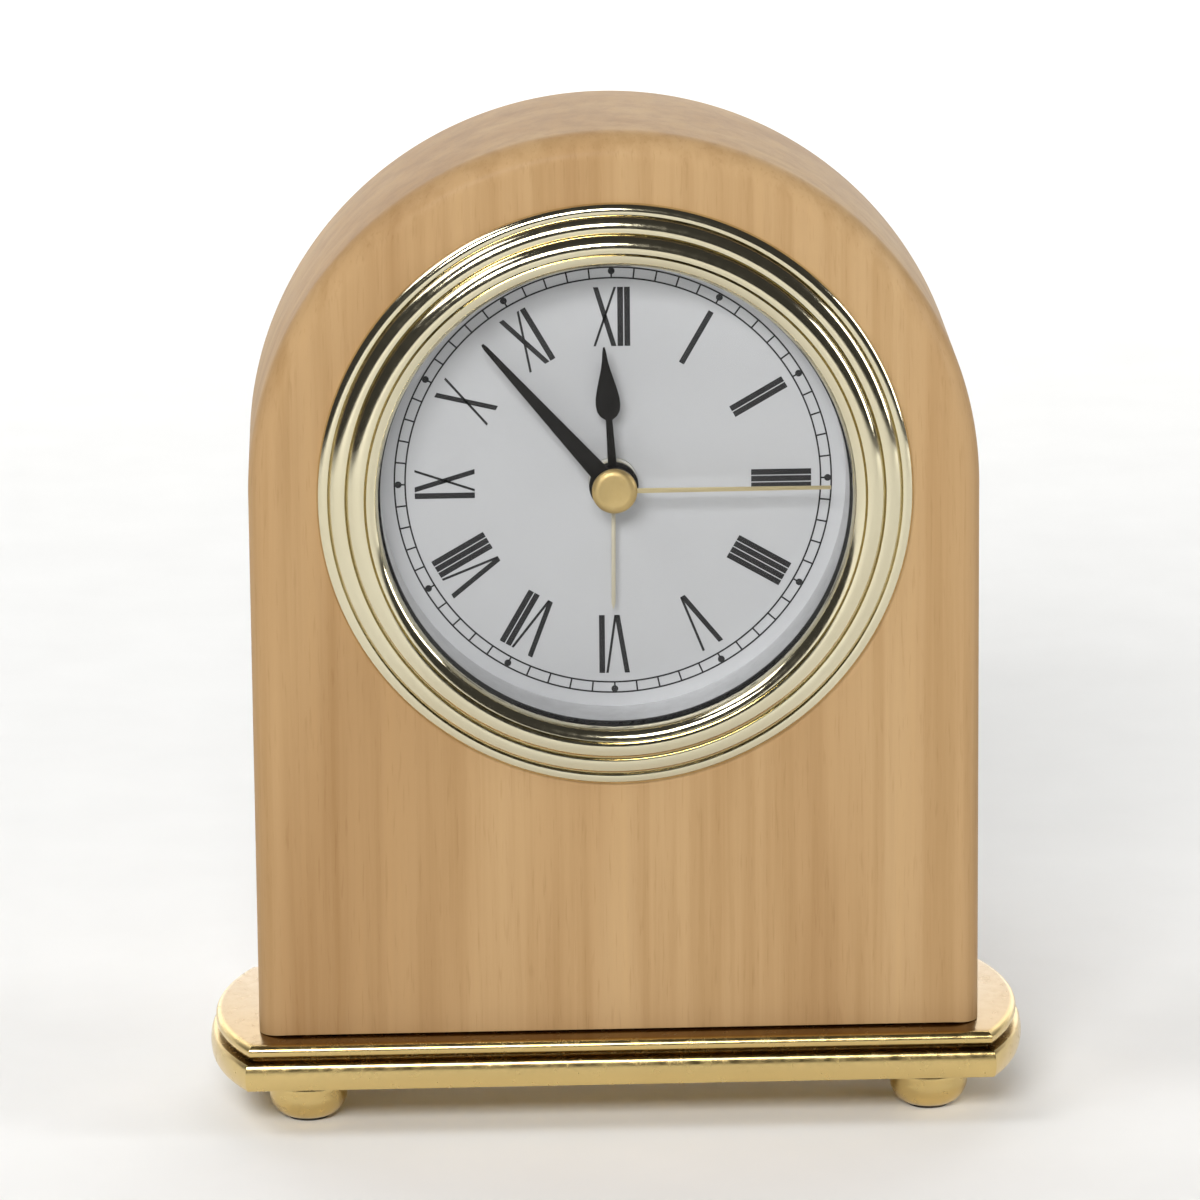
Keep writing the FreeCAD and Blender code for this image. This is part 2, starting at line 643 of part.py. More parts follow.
def alarm_set_knob():
    phase = mate_phase(ALARM_PHASE, ALARM_TEETH, direction_of(CENTRE, ALARM_SETTER), ALARM_SETTING_TEETH)
    wheel = gear(ALARM_SETTING_TEETH, MODULE, -9.0, -8.4, ALARM_SETTER, phase)
    knob = knurled_knob(ALARM_SETTER, 0.8, -8.4)
    pivot = rod(0.55, PLATE_BACK_Y - 0.4, -8.4, *ALARM_SETTER)
    return knob.fuse([wheel, pivot])


def alarm_switch():
    """Slider at the off end of its slot; it travels 3 mm along +X."""
    slider = block(-18.3, -15.3, CUP_BACK_Y, BACK_Y + 1.0, 8.15, 10.25)
    keeper = block(-20.5, -13.1, CUP_BACK_Y - 0.9, CUP_BACK_Y - 0.05, 7.2, 11.2)
    stem = block(-18.3, -15.3, CUP_BACK_Y - 0.1, CUP_BACK_Y, 8.15, 10.25)
    grip = [block(x, x + 0.35, BACK_Y + 1.0, BACK_Y + 1.3, 8.15, 10.25) for x in (-18.0, -17.0, -16.0)]
    return slider.fuse([keeper, stem] + grip)


# ---- motor, circuit and sounder ----
def coil_winding():
    winding = rod_along_x(2.1, -15.2, -6.4, -1.3, 13.4)
    return winding.cut(rod_along_x(1.35, -16.0, -6.0, -1.3, 13.4))


def coil_bobbin():
    body = rod_along_x(1.3, -15.7, -5.8, -1.3, 13.4)
    cheeks = [rod_along_x(2.25, x, x + 0.5, -1.3, 13.4) for x in (-15.7, -6.3)]
    return body.fuse(cheeks).cut(block(-19, -3, -1.72, -0.88, 12.38, 14.42))


def coil_core():
    return block(-17.8, -3.9, -1.7, -0.9, 12.4, 14.4)


def stator():
    outer = [(-17.8, 14.4), (-17.8, 4.9), (-4.1, 4.9), (-4.1, 14.4)]
    frame = outer + [(-5.6, 14.4), (-5.6, 11.0), (-16.4, 11.0)]
    plate = plate_from_points(frame + [(-16.4, 14.4)], -0.9, -0.1)
    return plate.cut(rod(2.75, -1.0, 0.0, *ROTOR))


def circuit_board():
    board = block(7.6, 15.2, -0.6, 0.2, -0.8, 17.2)
    return board.cut(rod(0.5, -0.7, 0.3, 11.4, 1.2))


def quartz_can():
    body = Part.makeCylinder(1.0, 6.0, V(13.4, -1.6, 9.5), V(0, 0, 1))
    edges = [edge for edge in body.Edges if edge.Curve.TypeId == "Part::GeomCircle"]
    leads = [Part.makeCylinder(0.15, 1.4, V(13.4 + dx, -1.6, 8.2)) for dx in (-0.4, 0.4)]
    return body.makeFillet(0.3, edges).fuse(leads)


def circuit_chip():
    dome = Part.makeSphere(2.6, V(10.6, 1.15, 5.2), V(0, -1, 0), 0, 90, 360)
    return dome.common(block(7.8, 13.6, -2.0, -0.6, 2.0, 8.4))


def sounder():
    body = rod(7.2, 7.6, CUP_BACK_Y, 0, 13.0)
    return body.cut(rod(1.6, 8.4, CUP_BACK_Y + 0.1, 0, 13.0))


# ---- hands ----
def hub(radius, bore, y_from, y_to):
    return tube(radius, bore, y_from, y_to)


def hour_hand():
    y = -13.55
    stem = plate_from_points([(-0.55, 0.5), (0.55, 0.5), (0.42, 10.2), (-0.42, 10.2)], y, y + HAND_THICKNESS)
    spade = rod(1.5, y, y + HAND_THICKNESS, 0, 11.4)
    point = [(-1.36, 12.1), (1.36, 12.1), (0.35, 15.4), (0, 17.3), (-0.35, 15.4)]
    tip = plate_from_points(point, y, y + HAND_THICKNESS)
    blade = stem.fuse([spade, tip]).cut(rod(1.70, y, y + HAND_THICKNESS))
    collet = hub(3.0, 1.70, y, y + 0.5)
    return clock_turn(blade.fuse(collet), HOUR_ANGLE)


def minute_hand():
    y = -14.75
    points = [(-1.05, 0.5), (1.05, 0.5), (1.05, 3.0), (0.2, 24.0), (-0.2, 24.0), (-1.05, 3.0)]
    blade = plate_from_points(points, y, y + HAND_THICKNESS).cut(rod(1.0, y, y + HAND_THICKNESS))
    return clock_turn(blade.fuse(hub(2.6, 1.0, y, y + 0.45)), MINUTE_ANGLE)


def second_hand():
    y = -15.85
    blade = plate_from_points([(-0.28, 0.0), (0.28, 0.0), (0.14, 26.2), (-0.14, 26.2)], y, y + 0.2)
    cap = Part.makeCylinder(2.75, 0.75, V(0, -15.65, 0), V(0, -1, 0))
    circles = [edge for edge in cap.Edges if edge.Curve.TypeId == "Part::GeomCircle"]
    edges = [edge for edge in circles if edge.BoundBox.YMax < -16.3]
    cap = cap.makeFillet(0.35, edges)
    tube_part = rod(0.8, -15.65, -15.15)
    return clock_turn(blade.fuse([cap, tube_part]).cut(rod(0.40, -16.3, -15.0)), SECOND_ANGLE)


def alarm_hand():
    y = -12.3
    points = [(-0.26, 0.5), (0.26, 0.5), (0.26, 14.9), (0.0, 15.6), (-0.26, 14.9)]
    blade = plate_from_points(points, y, y + HAND_THICKNESS).cut(rod(2.40, y, y + HAND_THICKNESS))
    return clock_turn(blade.fuse(hub(2.9, 2.40, y, y + 0.4)), ALARM_ANGLE)


# ---- nodes ----
STANDING = {
    "wood_case": wood_case,
    "base_plate": base_plate,
    "base_screws": base_screws,
    "foot_pads": foot_pads,
}
FEET = ("foot_front_left", "foot_front_right", "foot_rear_left", "foot_rear_right")
INSERT = {
    "bezel": bezel,
    "lens": lens,
    "lens_gasket": lens_gasket,
    "dial_wall": dial_wall,
    "dial": dial,
    "insert_cup": insert_cup,
    "grip_ring": grip_ring,
    "insert_back": insert_back,
    "back_screws": back_screws,
    "battery_door": battery_door,
    "battery": battery,
    "contact_plus": contact_plus,
    "contact_spring": contact_spring,
    "movement_plate": movement_plate,
    "movement_lid": movement_lid,
    "movement_screws": movement_screws,
    "train_bridge": train_bridge,
    "rotor": rotor,
    "intermediate_wheel": intermediate_wheel,
    "second_wheel": second_wheel,
    "third_wheel": third_wheel,
    "centre_wheel": centre_wheel,
    "cannon_pinion": cannon_pinion,
    "motion_wheel": motion_wheel,
    "hour_wheel": hour_wheel,
    "alarm_wheel": alarm_wheel,
    "time_set_knob": time_set_knob,
    "alarm_set_knob": alarm_set_knob,
    "alarm_switch": alarm_switch,
    "coil_winding": coil_winding,
    "coil_bobbin": coil_bobbin,
    "coil_core": coil_core,
    "stator": stator,
    "circuit_board": circuit_board,
    "quartz_can": quartz_can,
    "circuit_chip": circuit_chip,
    "sounder": sounder,
    "hour_hand": hour_hand,
    "minute_hand": minute_hand,
    "second_hand": second_hand,
    "alarm_hand": alarm_hand,
}


def build():
    nodes = {name: make() for name, make in STANDING.items()}
    nodes["wood_case"].translate(V(0, CASE_SHIFT_Y, 0))
    for name, (x, y) in zip(FEET, foot_places()):
        nodes[name] = foot(x, y)
    for name, make in INSERT.items():
        shape = make()
        shape.translate(V(0, CASE_SHIFT_Y, DIAL_CENTRE_Z))
        nodes[name] = shape
    return nodes


os.makedirs("parts", exist_ok=True)
for node, shape in build().items():
    shape.exportStep("parts/" + node + ".step")
    print(node, len(shape.Solids), "valid" if shape.isValid() else "INVALID", round(shape.Volume, 2))
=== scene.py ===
# %% [markdown]
# # An arched desk clock
# A block of light hardwood with a round top holds a drop-in clock insert: a
# stepped gold bezel, a silvery dial, four hands and a battery movement.  It
# stands on a moulded gold base with bun feet.  The engineering model is loaded
# first, as a fixed frame in metres, and every visible piece is then finished on
# top of it.

# %% Load the frame
import math

import bmesh
import bpy
from mathutils import Matrix, Vector


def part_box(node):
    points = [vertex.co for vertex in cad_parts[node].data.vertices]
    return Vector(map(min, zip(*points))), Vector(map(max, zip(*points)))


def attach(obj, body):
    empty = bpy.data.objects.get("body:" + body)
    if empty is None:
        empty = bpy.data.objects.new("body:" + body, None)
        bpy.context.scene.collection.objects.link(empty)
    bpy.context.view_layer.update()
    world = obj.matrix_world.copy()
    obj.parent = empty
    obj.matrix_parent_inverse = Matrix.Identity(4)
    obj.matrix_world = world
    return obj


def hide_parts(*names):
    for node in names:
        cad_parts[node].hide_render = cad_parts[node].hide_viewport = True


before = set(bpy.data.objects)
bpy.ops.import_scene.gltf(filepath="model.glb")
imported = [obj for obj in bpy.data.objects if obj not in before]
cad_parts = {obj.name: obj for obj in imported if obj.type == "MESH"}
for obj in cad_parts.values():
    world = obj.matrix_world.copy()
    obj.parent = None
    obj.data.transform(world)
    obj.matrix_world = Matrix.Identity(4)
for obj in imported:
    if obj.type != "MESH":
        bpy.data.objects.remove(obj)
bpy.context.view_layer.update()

MM = 0.001
DIAL_LOW, DIAL_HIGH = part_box("dial")
DIAL_FACE_Y = DIAL_LOW[1]
CENTRE_Z = (DIAL_LOW[2] + DIAL_HIGH[2]) / 2
print("dial centre at", round(CENTRE_Z / MM, 2), "mm, face at y", round(DIAL_FACE_Y / MM, 2), "mm")

# %% [markdown]
# ## Helpers for meshes
# Most pieces of a clock are turned on a lathe or drawn as a flat outline and cut
# from sheet.  So two small tools make nearly everything: one spins a half
# section round an axis, the other closes a flat outline into a thin plate.
# Arcs in a section are sampled finely, so that polished metal has no facets.

# %% Mesh helpers
def new_piece(name, verts, faces, smooth_angle=30.0):
    """A mesh object at the origin, shaded smooth except at real corners."""
    mesh = bpy.data.meshes.new(name)
    mesh.from_pydata(verts, [], faces)
    work = bmesh.new()
    work.from_mesh(mesh)
    bmesh.ops.remove_doubles(work, verts=work.verts, dist=1e-7)
    bmesh.ops.recalc_face_normals(work, faces=work.faces)
    work.to_mesh(mesh)
    work.free()
    mesh.polygons.foreach_set("use_smooth", [True] * len(mesh.polygons))
    mesh.set_sharp_from_angle(angle=math.radians(smooth_angle))
    piece = bpy.data.objects.new(name, mesh)
    bpy.context.collection.objects.link(piece)
    return piece


def arc(start, middle, end, count=8):
    """Points on the circle through three points, from the first to the last."""
    ax, ay = start
    bx, by = middle
    cx, cy = end
    d = 2 * (ax * (by - cy) + bx * (cy - ay) + cx * (ay - by))
    ux = ((ax**2 + ay**2) * (by - cy) + (bx**2 + by**2) * (cy - ay) + (cx**2 + cy**2) * (ay - by)) / d
    uy = ((ax**2 + ay**2) * (cx - bx) + (bx**2 + by**2) * (ax - cx) + (cx**2 + cy**2) * (bx - ax)) / d
    radius = math.hypot(ax - ux, ay - uy)
    a0 = math.atan2(ay - uy, ax - ux)
    a1 = math.atan2(by - uy, bx - ux)
    a2 = math.atan2(cy - uy, cx - ux)
    ccw = (a2 - a0) % (2 * math.pi)
    if (a1 - a0) % (2 * math.pi) > ccw:
        ccw -= 2 * math.pi
    return [(ux + radius * math.cos(a0 + ccw * k / count), uy + radius * math.sin(a0 + ccw * k / count))
            for k in range(count + 1)]


def section(*steps):
    """Join points and arcs (given as three-point tuples) into one list in metres."""
    points = []
    for step in steps:
        found = arc(*step) if isinstance(step[0], tuple) else [step]
        for point in found:
            if not points or math.dist(point, points[-1]) > 1e-4:
                points.append(point)
    return [(a * MM, b * MM) for a, b in points]


def spin(name, profile, axis, at, segments=256, closed=True, smooth_angle=30.0):
    """Turn a (radius, along) section about the Y or Z axis through a point."""
    verts, faces = [], []
    rows = len(profile)
    for step in range(segments):
        angle = 2 * math.pi * step / segments
        c, s = math.cos(angle), math.sin(angle)
        for radius, along in profile:
            if axis == "y":
                verts.append((at[0] + radius * c, along, at[1] + radius * s))
            else:
                verts.append((at[0] + radius * c, at[1] + radius * s, along))
    last = rows if closed else rows - 1
    for step in range(segments):
        here, after = step * rows, ((step + 1) % segments) * rows
        for k in range(last):
            k2 = (k + 1) % rows
            faces.append((here + k, here + k2, after + k2, after + k))
    return new_piece(name, verts, faces, smooth_angle)


def plate(name, outlines, y_front, y_back, turn=0.0, smooth_angle=30.0):
    """Flat plates from (across, up) outlines in mm round the dial centre, turned clockwise."""
    verts, faces = [], []
    angle = math.radians(turn)
    c, s = math.cos(angle), math.sin(angle)
    for points in outlines:
        base = len(verts)
        count = len(points)
        for y in (y_front, y_back):
            for a, up in points:
                verts.append(((a * c + up * s) * MM, y, CENTRE_Z + (up * c - a * s) * MM))
        faces.append(tuple(range(base, base + count)))
        faces.append(tuple(range(base + 2 * count - 1, base + count - 1, -1)))
        for k in range(count):
            k2 = (k + 1) % count
            faces.append((base + k, base + count + k, base + count + k2, base + k2))
    return new_piece(name, verts, faces, smooth_angle)


def finish_piece(piece, body, material, slot, *replaced):
    piece.data.materials.clear()
    piece.data.materials.append(material)
    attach(piece, body)
    if replaced:
        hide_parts(*replaced)
    print(piece.name, len(piece.data.polygons), "faces")
    return piece


# %% [markdown]
# ## Materials
# Each finish is a small node tree on the object's own coordinates, so a pattern
# stays on its piece when the piece moves.  One helper makes the tree and hands
# back the shader; a second adds a fine bump, since nothing real is perfectly
# even.

# %% Material helpers
class Finish:
    """A material with its node tree, and short ways to add to it."""

    def __init__(self, name, colour, roughness, metallic=0.0):
        self.material = bpy.data.materials.new(name)
        self.material.use_nodes = True
        self.material.diffuse_color = (*colour, 1.0)
        self.nodes = self.material.node_tree.nodes
        self.links = self.material.node_tree.links
        self.shader = self.nodes["Principled BSDF"]
        self.shader.inputs["Base Color"].default_value = (*colour, 1.0)
        self.shader.inputs["Roughness"].default_value = roughness
        self.shader.inputs["Metallic"].default_value = metallic
        self.coords = self.nodes.new("ShaderNodeTexCoord").outputs["Object"]

    def add(self, kind, **settings):
        node = self.nodes.new(kind)
        for key, value in settings.items():
            setattr(node, key, value)
        return node

    def mapped(self, scale, location=(0, 0, 0), rotation=(0, 0, 0)):
        mapping = self.add("ShaderNodeMapping")
        mapping.inputs["Scale"].default_value = scale
        mapping.inputs["Location"].default_value = location
        mapping.inputs["Rotation"].default_value = rotation
        self.links.new(self.coords, mapping.inputs["Vector"])
        return mapping.outputs["Vector"]

    def noise(self, scale, vector=None, detail=4.0, rough=0.5, distortion=0.0):
        node = self.add("ShaderNodeTexNoise")
        node.inputs["Scale"].default_value = scale
        node.inputs["Detail"].default_value = detail
        node.inputs["Roughness"].default_value = rough
        node.inputs["Distortion"].default_value = distortion
        self.links.new(vector if vector else self.coords, node.inputs["Vector"])
        return node.outputs["Fac"]

    def ramp(self, source, *stops):
        node = self.add("ShaderNodeValToRGB")
        ramp = node.color_ramp
        ends = (ramp.elements[0], ramp.elements[1])
        for element, (place, colour) in zip(ends, (stops[0], stops[-1])):
            element.position = place
            element.color = (*colour, 1.0)
        for place, colour in stops[1:-1]:
            ramp.elements.new(place).color = (*colour, 1.0)
        self.links.new(source, node.inputs["Fac"])
        return node.outputs["Color"]

    def height(self, low, high):
        """0 at low and 1 at high, both in mm above the table."""
        split = self.add("ShaderNodeSeparateXYZ")
        self.links.new(self.coords, split.inputs["Vector"])
        return self.span(split.outputs["Z"], 0.0, 1.0, low * MM, high * MM)

    def span(self, source, low, high, from_low=0.0, from_high=1.0):
        node = self.add("ShaderNodeMapRange")
        node.inputs["From Min"].default_value = from_low
        node.inputs["From Max"].default_value = from_high
        node.inputs["To Min"].default_value = low
        node.inputs["To Max"].default_value = high
        self.links.new(source, node.inputs["Value"])
        return node.outputs["Result"]

    def mix(self, factor, first, second, blend="MIX"):
        node = self.add("ShaderNodeMix", data_type="RGBA", blend_type=blend)
        sockets = (node.inputs["Factor"], node.inputs[6], node.inputs[7])
        for socket, value in zip(sockets, (factor, first, second)):
            if isinstance(value, (float, int)):
                socket.default_value = value
            elif isinstance(value, tuple):
                socket.default_value = (*value, 1.0)
            else:
                self.links.new(value, socket)
        return node.outputs[2]

    def into(self, socket, source):
        self.links.new(source, self.shader.inputs[socket])

    def bump(self, height, strength, distance):
        node = self.add("ShaderNodeBump")
        node.inputs["Strength"].default_value = strength
        node.inputs["Distance"].default_value = distance
        self.links.new(height, node.inputs["Height"])
        self.links.new(node.outputs["Normal"], self.shader.inputs["Normal"])


def paint_node(node, material):
    """Give a frame node a better finish by filling its material slots."""
    mesh_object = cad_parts[node]
    if not mesh_object.material_slots:
        mesh_object.data.materials.append(material)
    for held in mesh_object.material_slots:
        held.material = material


# %% [markdown]
# ## Wood
# The block is plain-sawn light hardwood with its grain upright.  Long narrow
# streaks come from a noise that is stretched many times along the height.  A
# slow second noise makes broad warm and pale bands, and short fine dashes are the
# pores.  Because the texture is solid, the same streaks turn into end grain on
# the round top, as on a real block.  A very thin clear coat gives the lacquer a
# faint sheen.

# %% Wood finish
WOOD_BANDS = ((0.28, (0.380, 0.225, 0.100)), (0.50, (0.465, 0.295, 0.142)),
              (0.74, (0.520, 0.345, 0.175)))
WOOD_STREAKS = ((0.34, (0.88, 0.85, 0.80)), (0.55, (1.0, 1.0, 1.0)), (0.75, (1.05, 1.05, 1.04)))


def make_wood():
    wood = Finish("light_hardwood", (0.52, 0.30, 0.14), 0.42)
    bands = wood.noise(1.0, wood.mapped((46.0, 60.0, 5.0)), 3.0, 0.55, 0.6)
    streaks = wood.noise(1.0, wood.mapped((420.0, 420.0, 9.0), (3.1, 0.7, 0.2)), 4.0, 0.6, 0.2)
    pores = wood.noise(1.0, wood.mapped((2600.0, 2600.0, 160.0), (1.3, 2.2, 0.4)), 2.0, 0.6)
    base = wood.ramp(bands, *WOOD_BANDS)
    fine = wood.ramp(streaks, *WOOD_STREAKS)
    dots = wood.ramp(pores, (0.30, (0.72, 0.66, 0.58)), (0.42, (1.0, 1.0, 1.0)))
    colour = wood.mix(1.0, base, fine, "MULTIPLY")
    colour = wood.mix(0.30, colour, dots, "MULTIPLY")
    wood.into("Base Color", colour)
    wood.into("Roughness", wood.span(streaks, 0.42, 0.58))
    wood.shader.inputs["Specular IOR Level"].default_value = 0.06
    wood.shader.inputs["Coat Weight"].default_value = 0.03
    wood.shader.inputs["Coat Roughness"].default_value = 0.22
    wood.bump(pores, 0.10, 0.0001)
    return wood.material


WOOD = make_wood()

# %% [markdown]
# ## Gold plate
# Two tones are used: pale gold for the bezel and a deeper one for the base and
# feet.  Polished plate is almost a mirror, but it shows soft cloudiness, fine
# polishing marks and slightly duller patches, which come from noise on the
# roughness and a very low bump.  The base's band and bead keep the plain plate
# colour.  Painted shade darkens the narrow cove and the flat top round the block,
# and the top also carries a painted reflection of the wood, so its tone changes with height.

# %% Metal finishes
def make_plate(name, bright, dull, roughness, marks):
    gold = Finish(name, bright, roughness, 1.0)
    cloud = gold.noise(70.0, None, 3.0, 0.5)
    fine = gold.noise(1.0, gold.mapped((marks, marks, marks)), 3.0, 0.6)
    gold.into("Base Color", gold.mix(gold.span(cloud, 0.0, 0.5, 0.35, 0.75), bright, dull))
    gold.into("Roughness", gold.span(fine, roughness * 0.75, roughness * 1.5, 0.3, 0.7))
    gold.bump(fine, 0.02, 0.000012)
    return gold.material


BEZEL_GOLD = make_plate("pale_gold_plate", (0.70, 0.64, 0.46), (0.63, 0.56, 0.38), 0.10, 900.0)
# Painted shade by height: dark stops in the cove, and on the flat top a painted reflection of the wood
# block.
COVE_AND_TOP_PAINTED_SHADE = ((0.14, (1.0, 1.0, 1.0)), (0.24, (0.30, 0.27, 0.22)), (0.44, (0.34, 0.30, 0.24)),
              (0.56, (1.0, 1.0, 1.0)), (0.90, (1.0, 1.0, 1.0)), (0.96, (0.36, 0.31, 0.26)))


def make_base_gold():
    """The same plate with shade painted in by height: dark in the cove, darker on the flat top as a
    painted reflection of the wood.
    """
    gold = Finish("base_gold_plate", (0.72, 0.54, 0.23), 0.20, 1.0)
    cloud = gold.noise(70.0, None, 3.0, 0.5)
    fine = gold.noise(1.0, gold.mapped((700.0, 700.0, 700.0)), 3.0, 0.6)
    cloudy = gold.span(cloud, 0.0, 0.5, 0.35, 0.75)
    plate_colour = gold.mix(cloudy, (0.72, 0.54, 0.23), (0.65, 0.47, 0.19))
    # Painted shade: the height ramp darkens the cove and the flat top round the block.
    painted_shade = gold.ramp(gold.height(9.0, 12.0), *COVE_AND_TOP_PAINTED_SHADE)
    gold.into("Base Color", gold.mix(1.0, plate_colour, painted_shade, "MULTIPLY"))
    gold.into("Roughness", gold.span(fine, 0.15, 0.30, 0.3, 0.7))
    gold.bump(fine, 0.02, 0.000012)
    return gold.material


BASE_GOLD = make_base_gold()
HAND_GOLD = make_plate("gold_lacquer", (0.66, 0.56, 0.33), (0.58, 0.49, 0.28), 0.35, 1500.0)
ALARM_GOLD = make_plate("pale_lacquer", (0.72, 0.67, 0.52), (0.66, 0.61, 0.47), 0.40, 1500.0)
CAP_GOLD = make_plate("cap_gold", (0.68, 0.51, 0.23), (0.62, 0.46, 0.20), 0.42, 1500.0)
STEEL = make_plate("zinc_steel", (0.62, 0.61, 0.58), (0.50, 0.49, 0.47), 0.34, 1200.0)
SILVER = make_plate("silvered_ring", (0.72, 0.72, 0.72), (0.62, 0.62, 0.62), 0.38, 900.0)

# %% [markdown]
# ## Plastics, rubber, felt and ink
# Moulded parts get a fine spark-eroded grain in the bump and a slightly uneven
# gloss.

# %% Moulded finishes
def make_moulded(name, colour, lift, roughness, grain, depth, sheen=0.5):
    plastic = Finish(name, colour, roughness)
    grainy = plastic.noise(grain, None, 3.0, 0.6)
    slow = plastic.noise(60.0, None, 2.0, 0.5)
    brighter = tuple(min(1.0, c + lift) for c in colour)
    plastic.into("Base Color", plastic.mix(plastic.span(slow, 0.0, 1.0, 0.3, 0.7), colour, brighter))
    plastic.into("Roughness", plastic.span(grainy, roughness * 0.85, roughness * 1.2))
    plastic.shader.inputs["Specular IOR Level"].default_value = sheen
    plastic.bump(grainy, 0.25, depth)
    return plastic.material


BLACK = make_moulded("black_moulding", (0.018, 0.018, 0.019), 0.008, 0.48, 2600.0, 0.00006)
WHITE = make_moulded("natural_moulding", (0.74, 0.73, 0.68), 0.05, 0.40, 1800.0, 0.00003)
RUBBER = make_moulded("soft_rubber", (0.022, 0.022, 0.022), 0.008, 0.75, 1500.0, 0.00008)
FELT = make_moulded("dark_felt", (0.045, 0.038, 0.032), 0.03, 0.95, 4200.0, 0.0003)
INK = make_moulded("printing_ink", (0.012, 0.012, 0.013), 0.006, 0.50, 3000.0, 0.00001)
BOARD = make_moulded("board_laminate", (0.035, 0.16, 0.05), 0.02, 0.35, 900.0, 0.00004)
JACKET = make_moulded("cell_jacket", (0.05, 0.07, 0.10), 0.02, 0.28, 500.0, 0.00002)
COPPER = make_plate("enamelled_copper", (0.80, 0.36, 0.16), (0.66, 0.28, 0.12), 0.30, 1600.0)
FERRITE = make_moulded("ferrite", (0.045, 0.045, 0.05), 0.02, 0.42, 1500.0, 0.00005)
BRASS = make_plate("turned_brass", (0.80, 0.62, 0.28), (0.70, 0.52, 0.22), 0.24, 1400.0)
HAND_BLACK = make_moulded("black_lacquer", (0.007, 0.006, 0.005), 0.004, 0.45, 900.0, 0.00001, 0.2)

# %% [markdown]
# ## The dial's surface
# The dial is silvery white: very pale satin metal paint with a soft vertical
# sheen.  Most of its look is a matt reflection, so it is a bright, weakly
# metallic surface with a fine even grain.

# %% Dial finish
def make_dial():
    dial = Finish("silvery_dial", (0.62, 0.64, 0.67), 0.45, 0.25)
    grain = dial.noise(3200.0, None, 2.0, 0.6)
    slow = dial.noise(28.0, None, 2.0, 0.5)
    cloud = dial.span(slow, 0.0, 1.0, 0.3, 0.7)
    dial.into("Base Color", dial.mix(cloud, (0.61, 0.62, 0.635), (0.66, 0.67, 0.685)))
    dial.into("Roughness", dial.span(grain, 0.40, 0.52))
    dial.bump(grain, 0.06, 0.00002)
    return dial.material


def make_glass():
    glass = Finish("clear_window", (0.02, 0.02, 0.02), 0.02)
    glass.shader.inputs["IOR"].default_value = 1.47
    glass.shader.inputs["Alpha"].default_value = 0.06
    smear = glass.noise(120.0, None, 2.0, 0.5)
    glass.into("Roughness", glass.span(smear, 0.01, 0.05))
    return glass.material


DIAL = make_dial()
GLASS = make_glass()

# %% [markdown]
# ## The wooden case
# The arch is one closed outline: two straight sides, a half circle and a flat
# foot.  Rows of that outline, each pulled in a little at the front and back
# edges, make the routed round-over.  The same number of points goes round the
# bore, so front face, bore and back face join with plain four-sided faces.

# %% Wooden case
CASE_LOW, CASE_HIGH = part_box("wood_case")
CASE_HALF = CASE_HIGH[0]
CASE_FRONT, CASE_BACK = CASE_LOW[1], CASE_HIGH[1]
CASE_FOOT = CASE_LOW[2]
FRONT_ROUND = 3.4 * MM
BACK_ROUND = 2.0 * MM
FOOT_ROUND = 0.35 * MM
BORE = 31.0 * MM
BORE_MOUTH = 31.7 * MM


def case_outline(inset, lift=0.0):
    """Arch outline pulled in by inset; its foot edge rises by lift."""
    half = CASE_HALF - inset
    foot = CASE_FOOT + lift
    points = []
    for k in range(49):
        points.append((-half + 2 * half * k / 48, foot))
    for k in range(1, 41):
        points.append((half, foot + (CENTRE_Z - foot) * k / 40))
    for k in range(1, 129):
        angle = math.pi * k / 128
        points.append((half * math.cos(angle), CENTRE_Z + half * math.sin(angle)))
    for k in range(1, 40):
        points.append((-half, CENTRE_Z + (foot - CENTRE_Z) * k / 40))
    return points


def bore_outline(radius):
    """As many points on the bore as on the arch, each in the same direction."""
    points = []
    for x, z in case_outline(0.0):
        angle = math.atan2(z - CENTRE_Z, x)
        points.append((radius * math.cos(angle), CENTRE_Z + radius * math.sin(angle)))
    return points


def case_rows():
    rows = [(bore_outline(BORE), CASE_FRONT)]
    steps = 10
    for k in range(steps + 1):
        turn = math.pi / 2 * k / steps
        edge = case_outline(FRONT_ROUND * (1 - math.sin(turn)), FOOT_ROUND * (1 - math.sin(turn)))
        rows.append((edge, CASE_FRONT + FRONT_ROUND * (1 - math.cos(turn))))
    for k in range(steps + 1):
        turn = math.pi / 2 * (1 - k / steps)
        edge = case_outline(BACK_ROUND * (1 - math.sin(turn)), FOOT_ROUND * (1 - math.sin(turn)))
        rows.append((edge, CASE_BACK - BACK_ROUND * (1 - math.cos(turn))))
    rows.append((bore_outline(BORE_MOUTH), CASE_BACK))
    rows.append((bore_outline(BORE), CASE_BACK - 0.7 * MM))
    return rows


def make_case():
    rows = case_rows()
    verts = [(x, y, z) for points, y in rows for x, z in points]
    count = len(rows[0][0])
    faces = []
    for r in range(len(rows)):
        after = (r + 1) % len(rows)
        for k in range(count):
            k2 = (k + 1) % count
            faces.append((r * count + k, r * count + k2, after * count + k2, after * count + k))
    return new_piece("case_block", verts, faces, 35.0)


finish_piece(make_case(), "case", WOOD, "wood", "wood_case")

# %% [markdown]
# ## The gold base
# The base is a shallow casting with the same moulding all round: a half-round
# band at the bottom, a cove and a small bead under the flat top.  Each row of the
# mesh is the plan outline pulled in by what the moulding's section says at that
# height, so front, back and bowed ends meet in true mitres.

# %% Base moulding
BASE_LOW, BASE_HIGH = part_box("base_plate")
BASE_TOP = BASE_HIGH[2] / MM
BASE_FRONT, BASE_BACK = BASE_LOW[1] / MM, BASE_HIGH[1] / MM
BASE_CORNER, BASE_END = 46.0, 50.4
BAND, COVE = 3.4, 0.4
LIP = 0.65


